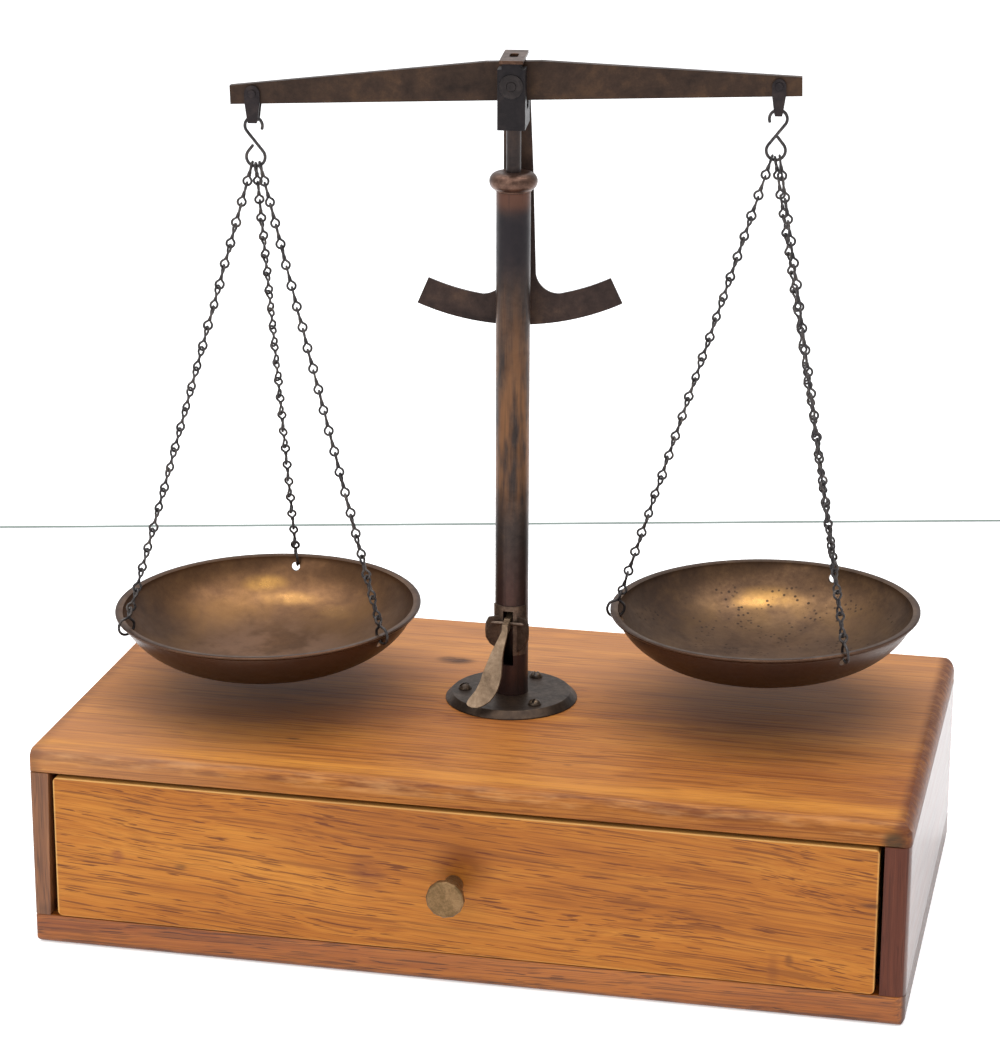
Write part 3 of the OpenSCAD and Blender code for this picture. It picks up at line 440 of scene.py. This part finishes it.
def column_extra(w, p, col, r, n):
    x, y, z = w.sep(p)
    # golden band in the middle of the tube, redder and darker low down
    n1 = w.noise(w.map(p, (1 / 3.0, 1 / 3.0, 1 / 22)), 1.0, 3, 0.6)
    gold = w.mul(w.rng(z, 128.0, 150.0), w.rng(z, 168.0, 226.0, 1.0, 0.0), w.rng(n1, 0.30, 0.66))
    col = w.mix(w.mul(gold, 0.75), col, lin(122, 82, 50))
    red = w.mul(w.rng(z, 128.0, 104.0), w.rng(n1, 0.3, 0.6, 0.4, 1.0))
    col = w.mix(w.mul(red, 0.55), col, lin(76, 48, 42))
    under = w.mul(w.rng(z, 233.0, 238.0), w.rng(z, 241.0, 243.0, 1.0, 0.0))
    col = w.mix(w.mul(under, 0.6), col, lin(112, 70, 50))
    streak = w.noise(w.map(p, (1 / 1.2, 1 / 1.2, 1 / 30)), 1.0, 2, 0.5)
    col = w.mix(w.mul(w.rng(streak, 0.55, 0.72), 0.35), col, lin(40, 30, 27))
    col = w.mix(w.mul(w.rng(z, 206.0, 222.0), w.rng(z, 232.0, 240.0, 1.0, 0.3), 0.75), col, lin(26, 23, 29))
    return col, r, n


COLUMN = metal("column_brass", lin(38, 32, 30), lin(54, 44, 40), lin(72, 56, 46), 0.72, (0.30, 0.46), 10, 11.0, extra=column_extra)


def pan_extra(centre, spotted, painted_glints=(), painted_shades=()):
    def f(w, p, col, r, n):
        q = w.map(p, loc=(-centre[0], -centre[1], -centre[2]))
        x, y, z = w.sep(q)
        rad = w.math("SQRT", w.add(w.mul(x, x), w.mul(y, y)))
        # faint turning lines
        rings = w.noise(w.comb(w.mul(rad, 1 / 0.9), 0.0, 0.0), 1.0, 2, 0.7)
        n = w.bump(rings, 0.18, 0.05, n)
        # a golden rubbed zone on the inside where wall meets floor
        a = w.noise(p, 1 / 22.0, 3, 0.55, 0.8)
        zone = w.mul(w.rng(rad, 18.0, 36.0), w.rng(rad, 38.0, 48.0, 1.0, 0.0), w.rng(a, 0.30, 0.70))
        col = w.mix(w.mul(zone, 0.45), col, lin(122, 86, 44) if not spotted else lin(112, 82, 44))
        gn = w.noise(p, 1 / 5.0, 3, 0.6)
        # painted highlights: golden glints painted into the base colour, with slightly lower roughness
        for c, rr, sq, k in painted_glints:
            g1 = w.mul(w.spot(q, c, rr, 0.7, sq), w.rng(gn, 0.30, 0.62, 0.4, 1.0))
            col = w.mix(w.mul(g1, k), col, lin(214, 160, 78))
            r = w.math("SUBTRACT", r, w.mul(g1, 0.08))
        # painted shade: darker patches on the inner wall
        for c, rr, sq, k in painted_shades:
            g2 = w.mul(w.spot(q, c, rr, 0.8, sq), w.rng(gn, 0.25, 0.6, 0.5, 1.0))
            col = w.mix(w.mul(g2, k), col, lin(44, 34, 32))
        # grey brown film on the floor
        film = w.mul(w.rng(rad, 34.0, 14.0), w.rng(w.noise(p, 1 / 13.0, 3, 0.6), 0.40, 0.6))
        col = w.mix(w.mul(film, 0.5 if not spotted else 0.3), col, lin(148, 114, 90) if not spotted else lin(118, 92, 72))
        # rim greyer; the outside darker underneath is painted shade
        lip = w.rng(rad, 49.6, 50.8)
        col = w.mix(w.mul(lip, 0.8), col, lin(62, 40, 27))
        # painted shade: the downward-facing outside below the lip made darker
        g = w.t.nodes.new("ShaderNodeNewGeometry")
        nz = w.sep(g.outputs["Normal"])[2]
        col = w.mix(w.mul(w.rng(nz, -0.02, -0.28), w.rng(rad, 50.6, 49.6), 0.85), col, lin(74, 58, 50))
        if spotted:
            v = w.voronoi(p, 1 / 1.9)
            gate = w.mul(w.rng(w.noise(p, 1 / 9.0, 2, 0.5), 0.46, 0.58), w.rng(y, 0.0, 14.0, 0.25, 1.0), w.rng(rad, 47.0, 44.0))
            s = w.mul(w.rng(v, 0.18, 0.34, 1.0, 0.0), gate)
            col = w.mix(w.mul(s, 0.8), col, lin(42, 32, 26))
            r = w.math("ADD", r, w.mul(s, 0.2))
        return col, r, n
    return f


# ---------------------------------------------------------------- mesh helpers
def make(name, verts, faces, mat, body, replaces=(), smooth=True, sharp=None):
    me = bpy.data.meshes.new(name)
    me.from_pydata([Vector(v) * MM for v in verts], [], faces)
    me.validate()
    bm = bmesh.new()
    bm.from_mesh(me)
    bmesh.ops.recalc_face_normals(bm, faces=bm.faces)
    if sharp is not None:
        for e in bm.edges:
            if len(e.link_faces) == 2 and e.calc_face_angle(0) > math.radians(sharp):
                e.smooth = False
    for f in bm.faces:
        f.smooth = smooth
    bm.to_mesh(me)
    bm.free()
    me.materials.append(mat)
    ob = bpy.data.objects.new(name, me)
    scene.collection.objects.link(ob)
    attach(ob, body)
    if replaces:
        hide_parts(*replaces)
    return ob


def refine(node, mat, bevel=0.3, segments=3, angle=28.0, keep=True):
    """A detailed copy of a CAD node: clean faces and small rounded edges."""
    src = NODES[node]
    bm = bmesh.new()
    bm.from_mesh(src.data)
    bmesh.ops.remove_doubles(bm, verts=bm.verts, dist=2e-6)
    bmesh.ops.dissolve_limit(bm, angle_limit=math.radians(0.6), verts=bm.verts, edges=bm.edges)
    if bevel:
        es = [e for e in bm.edges if len(e.link_faces) == 2 and e.calc_face_angle(0) > math.radians(angle)]
        bmesh.ops.bevel(bm, geom=es, offset=bevel * MM, offset_type="OFFSET", segments=segments, profile=0.5, affect="EDGES",
                        clamp_overlap=True)
    for f in bm.faces:
        f.smooth = True
    for e in bm.edges:
        if len(e.link_faces) == 2 and e.calc_face_angle(0) > math.radians(40):
            e.smooth = False
    me = bpy.data.meshes.new(node + "_fine")
    bm.to_mesh(me)
    bm.free()
    me.materials.append(mat)
    ob = bpy.data.objects.new(node + "_fine", me)
    scene.collection.objects.link(ob)
    wn = ob.modifiers.new("normals", "WEIGHTED_NORMAL")
    wn.keep_sharp = True
    wn.weight = 80
    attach(ob, src["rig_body"])
    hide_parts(node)
    return ob


def front_faces(ob, mat):
    """Gives the faces that look to the front their own material."""
    ob.data.materials.append(mat)
    for f in ob.data.polygons:
        if f.normal.y < -0.6:
            f.material_index = 1


def spline(ctrl, count, closed=False):
    """Catmull-Rom curve through the control points."""
    c = [Vector(p) for p in ctrl]
    n = len(c)
    segs = n if closed else n - 1
    out = []
    total = count if closed else count - 1
    for k in range(count):
        t = k / total * segs
        i = min(int(t), segs - 1)
        f = t - i
        if closed:
            p0, p1, p2, p3 = c[(i - 1) % n], c[i % n], c[(i + 1) % n], c[(i + 2) % n]
        else:
            p0, p1, p2, p3 = c[max(i - 1, 0)], c[i], c[i + 1], c[min(i + 2, n - 1)]
        out.append(0.5 * ((2 * p1) + (p2 - p0) * f + (2 * p0 - 5 * p1 + 4 * p2 - p3) * f * f + (3 * p1 - p0 - 3 * p2 + p3) * f ** 3))
    return out


def sweep(pts, rad, sides=10, closed=False, round_ends=True):
    P = [Vector(p) for p in pts]
    n = len(P)
    R = rad if callable(rad) else (lambda i: rad)
    T = []
    for i in range(n):
        a = P[i - 1] if (closed or i > 0) else P[i]
        b = P[(i + 1) % n] if (closed or i < n - 1) else P[i]
        T.append((b - a).normalized())
    F = [T[0].orthogonal().normalized()]
    for i in range(1, n):
        v = T[i - 1].rotation_difference(T[i]) @ F[-1]
        F.append((v - T[i] * v.dot(T[i])).normalized())
    twist = 0.0
    if closed:
        v = T[-1].rotation_difference(T[0]) @ F[-1]
        twist = math.atan2(T[0].dot(v.cross(F[0])), v.dot(F[0]))
    verts, faces = [], []
    rings = []

    def ring(c, f, t, r):
        b = t.cross(f)
        ids = []
        for k in range(sides):
            a = 2 * math.pi * k / sides
            ids.append(len(verts))
            verts.append(c + (f * math.cos(a) + b * math.sin(a)) * r)
        rings.append(ids)

    if not closed and round_ends:
        for q in (0.15, 0.6):
            ring(P[0] - T[0] * R(0) * (1 - q) * 0.8, F[0], T[0], R(0) * math.sqrt(1 - (1 - q) ** 2))
    for i in range(n):
        f = F[i]
        if closed:
            f = Matrix.Rotation(twist * i / n, 3, T[i]) @ f
        ring(P[i], f, T[i], R(i))
    if not closed and round_ends:
        for q in (0.6, 0.15):
            ring(P[-1] + T[-1] * R(n - 1) * (1 - q) * 0.8, F[-1], T[-1], R(n - 1) * math.sqrt(1 - (1 - q) ** 2))
    m = len(rings)
    for i in range(m if closed else m - 1):
        a, b = rings[i], rings[(i + 1) % m]
        for k in range(sides):
            faces.append((a[k], a[(k + 1) % sides], b[(k + 1) % sides], b[k]))
    if not closed:
        faces.append(tuple(reversed(rings[0])))
        faces.append(tuple(rings[-1]))
    return verts, faces


def merge(parts):
    V, Fs = [], []
    for v, f in parts:
        o = len(V)
        V += list(v)
        Fs += [tuple(i + o for i in q) for q in f]
    return V, Fs


def moved(part, m):
    return [m @ Vector(v) for v in part[0]], part[1]


# ---------------------------------------------------------------- chains and hooks
def fold(a):
    while a > 90:
        a -= 180
    while a < -90:
        a += 180
    return a


RING_UP = WIRE + LINK_W + GAP


def perch(foot, k):
    q = S_LO - RING_UP
    return Vector((foot[0] + k, 0, foot[1] + q - math.sqrt(q * q - k * k)))


def leant(p, c, l):
    m = Matrix.Translation(c) @ Matrix.Rotation(l[0], 4, "X") @ Matrix.Rotation(l[1], 4, "Y")
    return m @ Vector(p)


def hook_at(c, l, az):
    a = math.radians(az)
    return leant((HOOK_R * math.cos(a), HOOK_R * math.sin(a), HOOK_Z), c, l)


def eight(c_up, r_up, c_lo, r_lo, cross, a, wire, count=64, sides=9, lo_turn=0.0):
    """A wire bent to a figure eight: upper loop in the YZ plane, lower loop in the XZ plane, crossing at height cross."""
    pts = []
    ct, st = math.cos(lo_turn), math.sin(lo_turn)
    s = a * 0.72
    pts.append(Vector((s, s, cross)))
    h = cross + (c_up - r_up - cross) * 0.75 + 0.12
    pts.append(Vector((0.04, a * 1.05, h)))
    for d in range(-42, 223, 24):
        t = math.radians(d)
        pts.append(Vector((0, r_up * math.cos(t), c_up + r_up * math.sin(t))))
    pts.append(Vector((-0.04, -a * 1.05, h)))
    pts.append(Vector((-s, -s, cross)))
    h2 = cross - (cross - (c_lo + r_lo)) * 0.75 - 0.12
    pts.append(Vector((-a * 1.05 * ct, -a * 1.05 * st, h2)))
    for d in range(-42, 223, 24):
        t = math.radians(d)
        x = -r_lo * math.cos(t)
        pts.append(Vector((x * ct, x * st, c_lo - r_lo * math.sin(t))))
    pts.append(Vector((a * 1.05 * ct, a * 1.05 * st, h2)))
    return sweep(spline(pts, count, True), wire, sides, True)


def chain_parts(t, o, az, rnd):
    d = o - t
    l = d.length
    a1 = HOOK_C + HOOK_S - (LINK_W + HOOK_W + GAP)
    step = (l + RING_UP - a1 + (2 * LINK_W + GAP) * (LINKS - 1)) / LINKS
    c = step / 2 - LINK_M
    u = math.atan2(d.y, d.x)
    g = math.acos(-d.z / l)
    psi = math.radians(fold(-az))
    base = Matrix.Translation(t) @ Matrix.Rotation(u, 4, "Z") @ Matrix.Rotation(-g, 4, "Y")
    parts = []
    for i in range(LINKS):
        z = RING_UP - step / 2 - i * (step - 2 * LINK_W - GAP)
        q = i / (LINKS - 1)
        tw = psi * (1 - q) + math.radians(24 * math.sin(math.pi * q)) + math.radians(rnd.uniform(-13, 13) if 0 < i < LINKS - 1 else 0)
        m = base @ Matrix.Translation((0, 0, z)) @ Matrix.Rotation(tw, 4, "Z") @ Matrix.Rotation(math.radians(rnd.uniform(-2.5, 2.5)), 4, "X") @ Matrix.Rotation(math.radians(rnd.uniform(-2.5, 2.5)), 4, "Y")
        k = 1 + rnd.uniform(-0.03, 0.03)
        parts.append(moved(eight(c, LINK_M * k, -c, LINK_M / k, 0.0, 0.34, LINK_W * 0.96, 56, 8), m))
    return parts


def pan_hook_part(t, o, turn):
    d = t - o
    l = d.length
    u = math.atan2(-d.y, -d.x)
    g = math.acos(d.z / l)
    m = Matrix.Translation(o) @ Matrix.Rotation(u, 4, "Z") @ Matrix.Rotation(-g * 0.9, 4, "Y")
    return moved(eight(HOOK_C, HOOK_S, 0.0, HOOK_M, 3.55, 0.36, HOOK_W * 0.92, 64, 10, turn), m)


def wires():
    for side, foot, centre, lean, azs in (("left", FOOT_L, RIM_L, LEAN_L, AZ_L), ("right", FOOT_R, RIM_R, LEAN_R, AZ_R)):
        rim = Vector((centre[0], 0, centre[1]))
        hooks = []
        for k, (which, az) in enumerate(zip(("side", "rear", "front"), azs)):
            rnd = random.Random(100 + k + (10 if side == "right" else 0))
            t = perch(foot, (-1.35, 0.0, 1.35)[k])
            o = hook_at(rim, lean, az)
            V, F = merge(chain_parts(t, o, az, rnd))
            V, F = moved((V, F), HEAD)
            make(f"wire_chain_{side}_{which}", V, F, WIRE_M, "hung_pan_" + side, (f"chain_{side}_{which}",))
            hooks.append(pan_hook_part(t, o, math.radians((14, 20, -14)[k])))
        V, F = moved(merge(hooks), HEAD)
        make(f"wire_hooks_{side}", V, F, WIRE_M, "hung_pan_" + side, (f"pan_hooks_{side}",))


def s_hook(side):
    eps = math.atan2(S_OFF, S_DIST)
    dd = math.hypot(S_OFF, S_DIST)
    na = -math.pi / 2 + eps - math.acos((S_UP + S_LO) / dd)
    c1 = Vector((0, 0, S_TOP))
    c2 = Vector((S_OFF, 0, S_TOP - S_DIST))
    pts = []

    def on(c, r, a):
        return c + Vector((r * math.cos(a), 0, r * math.sin(a)))

    a0, a1 = math.radians(-19), na + 2 * math.pi
    for i in range(27):
        pts.append(on(c1, S_UP, a0 + (a1 - a0) * i / 26))
    p1, p2 = on(c1, S_UP, na), on(c2, S_LO, na + math.pi)
    for i in range(1, 8):
        pts.append(p1.lerp(p2, i / 8))
    b0 = na + math.pi
    b1 = math.pi - (na + math.pi) - 2 * math.pi
    for i in range(27):
        pts.append(on(c2, S_LO, b0 + (b1 - b0) * i / 26))
    ae = math.pi - (na + math.pi)
    q0 = on(c2, S_LO, ae)
    te = Vector((math.sin(ae), 0, -math.cos(ae)))
    tail = 2.35 if side == "left" else 3.1
    for i in range(1, 6):
        pts.append(q0 + te * tail * i / 5)
    end = END_L if side == "left" else END_R
    part = sweep(pts, WIRE, 12)
    mirror = Matrix.Scale(-1, 4, (1, 0, 0)) if side == "right" else Matrix.Identity(4)
    V, F = moved(part, HEAD @ Matrix.Translation((end[0], 0, end[1] - BAR_DROP)) @ mirror)
    make("wire_s_hook_" + side, V, F, WIRE_M, "hook_" + side, ("s_hook_" + side,))


wires()
s_hook("left")
s_hook("right")

# ---------------------------------------------------------------- pans
rim_l = HEAD @ Vector((RIM_L[0], 0, RIM_L[1]))
rim_r = HEAD @ Vector((RIM_R[0], 0, RIM_R[1]))
PAN_A = metal("pan_brass", lin(88, 63, 43), lin(108, 79, 53), lin(128, 95, 62), 0.82, (0.30, 0.42), 15, 12.0, gain=(0.73, 0.67, 0.64),
              extra=pan_extra(rim_l, False, (((-14.1, 43.0, -7.0), 6.0, (1, 1, 3.0), 0.36), ((-4.5, 40.4, -11.2), 9.5, (1, 1.8, 5.6), 0.17),
                                             ((15.5, 34.3, -13.0), 6.0, (1, 1.4, 4.0), 0.12)),
                              (((-44.0, 5.0, -8.0), 12.0, (1, 1, 1), 0.35),)))
PAN_B = metal("pan_brass_spotted", lin(76, 57, 42), lin(98, 75, 53), lin(122, 95, 65), 0.80, (0.33, 0.47), 12, 13.0, gain=(0.70, 0.635, 0.62),
              extra=pan_extra(rim_r, True, (((-4.2, 41.8, -10.1), 9.0, (1, 1.4, 3.6), 0.24), ((-10.3, 38.9, -11.4), 6.0, (1, 1.4, 4.0), 0.16)),
                              (((-38.0, 24.0, -7.5), 17.0, (1, 1, 1.4), 0.45),)))

# ---------------------------------------------------------------- CAD nodes that keep their shape
refine("top_board", OAK_TOP, 0.25, 2)
refine("bottom_board", OAK_BOTTOM, 0.25, 2)
refine("side_left", DARK_LEFT_LIT, 0.3, 2)
front_faces(refine("side_right", DARK_RIGHT, 0.3, 2), DARK_END)
refine("back_board", DARK_BACK, 0.3, 2)
refine("drawer_front", OAK_DRAWER, 0.35, 3)
for n in ("drawer_side_left", "drawer_side_right"):
    refine(n, PLAIN_WOOD, 0.4, 2)
for n in ("drawer_back", "drawer_bottom"):
    refine(n, PLAIN_WOOD_X, 0.3, 2)
refine("drawer_knob", KNOB, 0.35, 3, 18)
refine("knob_screw", TURNED, 0.15, 2)
refine("flange_plate", FLANGE, 0.2, 2)
refine("flange_screws", SCREWS, 0.12, 2)
refine("column_tube", COLUMN, 0.15, 2, 50)
refine("column_collar", COLLAR, 0.15, 2, 50)
refine("lever_bracket", BRACKET, 0.12, 2)
refine("lever_pin", BRACKET, 0.15, 2)
refine("lift_lever", LEVER, 0.25, 3)
refine("lift_rod", COLUMN, 0.15, 2, 50)
refine("rod_guide", TURNED, 0.2, 2, 50)
refine("fork_block", BLOCK, 0.35, 3)
refine("fork_cap", CAP, 0.25, 3)
refine("fork_bushes", STEEL, 0.15, 2, 50)
refine("beam", BRASS_DARK, 0.3, 3)
refine("pivot_arbor", STEEL, 0.2, 2, 50)
refine("pointer", ARC, 0.25, 2)
refine("end_pins", SHACKLE, 0.2, 2, 50)
refine("stirrup_left", SHACKLE, 0.25, 3)
refine("stirrup_right", SHACKLE, 0.25, 3)
refine("pan_left", PAN_A, 0.0)
refine("pan_right", PAN_B, 0.0)

# ---------------------------------------------------------------- floor, backdrop, light, camera
AZ = math.radians(12.446)


def stage_plane(name, corners, col, rough=0.6, glow=0.0):
    me = bpy.data.meshes.new(name)
    me.from_pydata(corners, [], [tuple(range(len(corners)))])
    w = Mat(name)
    n = w.noise(w.pos(), 1 / 60.0, 2, 0.5)
    w.set(Base_Color=w.mix(n, col, tuple(c * 0.985 for c in col)), Roughness=rough)
    w.b.inputs["Emission Color"].default_value = (1, 1, 1, 1)
    w.b.inputs["Emission Strength"].default_value = glow
    me.materials.append(w.m)
    ob = bpy.data.objects.new(name, me)
    scene.collection.objects.link(ob)
    return ob


stage_plane("floor", [(-60, -60, 0), (60, -60, 0), (60, 60, 0), (-60, 60, 0)], (0.93, 0.93, 0.935), glow=0.36)
# the table's seam is a thin line behind the scale, nearly square to the camera's heading
side = Vector((0.969104, 0.246654, 0))
fwd = Vector((-side.y, side.x, 0))
s0 = Vector((-0.0922, 0.4054, 0.0004))
s1 = s0 + fwd * 0.0026
stage_plane("seam_line", [tuple(s0 - side * 12), tuple(s0 + side * 12), tuple(s1 + side * 12), tuple(s1 - side * 12)], (0.16, 0.20, 0.18))


def area(name, loc, target, size, power, colour=(1, 1, 1)):
    l = bpy.data.lights.new(name, "AREA")
    l.shape = "RECTANGLE"
    l.size, l.size_y = size
    l.energy = power
    l.color = colour
    o = bpy.data.objects.new(name, l)
    scene.collection.objects.link(o)
    o.location = loc
    o.rotation_euler = (Vector(target) - Vector(loc)).to_track_quat("-Z", "Y").to_euler()
    return o


area("light_top", (-0.12, -0.1, 1.3), (0, 0, 0.05), (2.2, 1.8), 19.0)
area("light_back", (0.0, 0.15, 1.4), (-0.1, 0.9, 0.2), (1.8, 0.6), 12.0)
area("light_front", (-0.6, -1.6, 0.9), (0, 0, 0.12), (0.8, 0.8), 5.0)

world = bpy.data.worlds.new("World")
scene.world = world
world.use_nodes = True
nt = world.node_tree
nt.nodes.clear()
wo = nt.nodes.new("ShaderNodeOutputWorld")
bg = nt.nodes.new("ShaderNodeBackground")
bg.inputs[0].default_value = (0.97, 0.98, 1.0, 1)
bg.inputs[1].default_value = 0.75
nt.links.new(bg.outputs[0], wo.inputs[0])

cam = bpy.data.cameras.new("camera")
cam.sensor_fit = "HORIZONTAL"
cam.sensor_width = 36.0
cam.lens = 3188.85 / 1000 * 36.0
cam.clip_start, cam.clip_end = 0.05, 20
co = bpy.data.objects.new("camera", cam)
scene.collection.objects.link(co)
az, el, ro = math.radians(12.446), math.radians(17.441), math.radians(0.175)
f = Vector((-math.sin(az) * math.cos(el), math.cos(az) * math.cos(el), -math.sin(el)))
r0 = Vector((math.cos(az), math.sin(az), 0))
u0 = r0.cross(f)
r1 = math.cos(ro) * r0 + math.sin(ro) * u0
u1 = -math.sin(ro) * r0 + math.cos(ro) * u0
m = Matrix((r1, u1, -f)).transposed().to_4x4()
m.translation = Vector((0.21334, -0.98407, 0.44484))
co.matrix_world = m
scene.camera = co
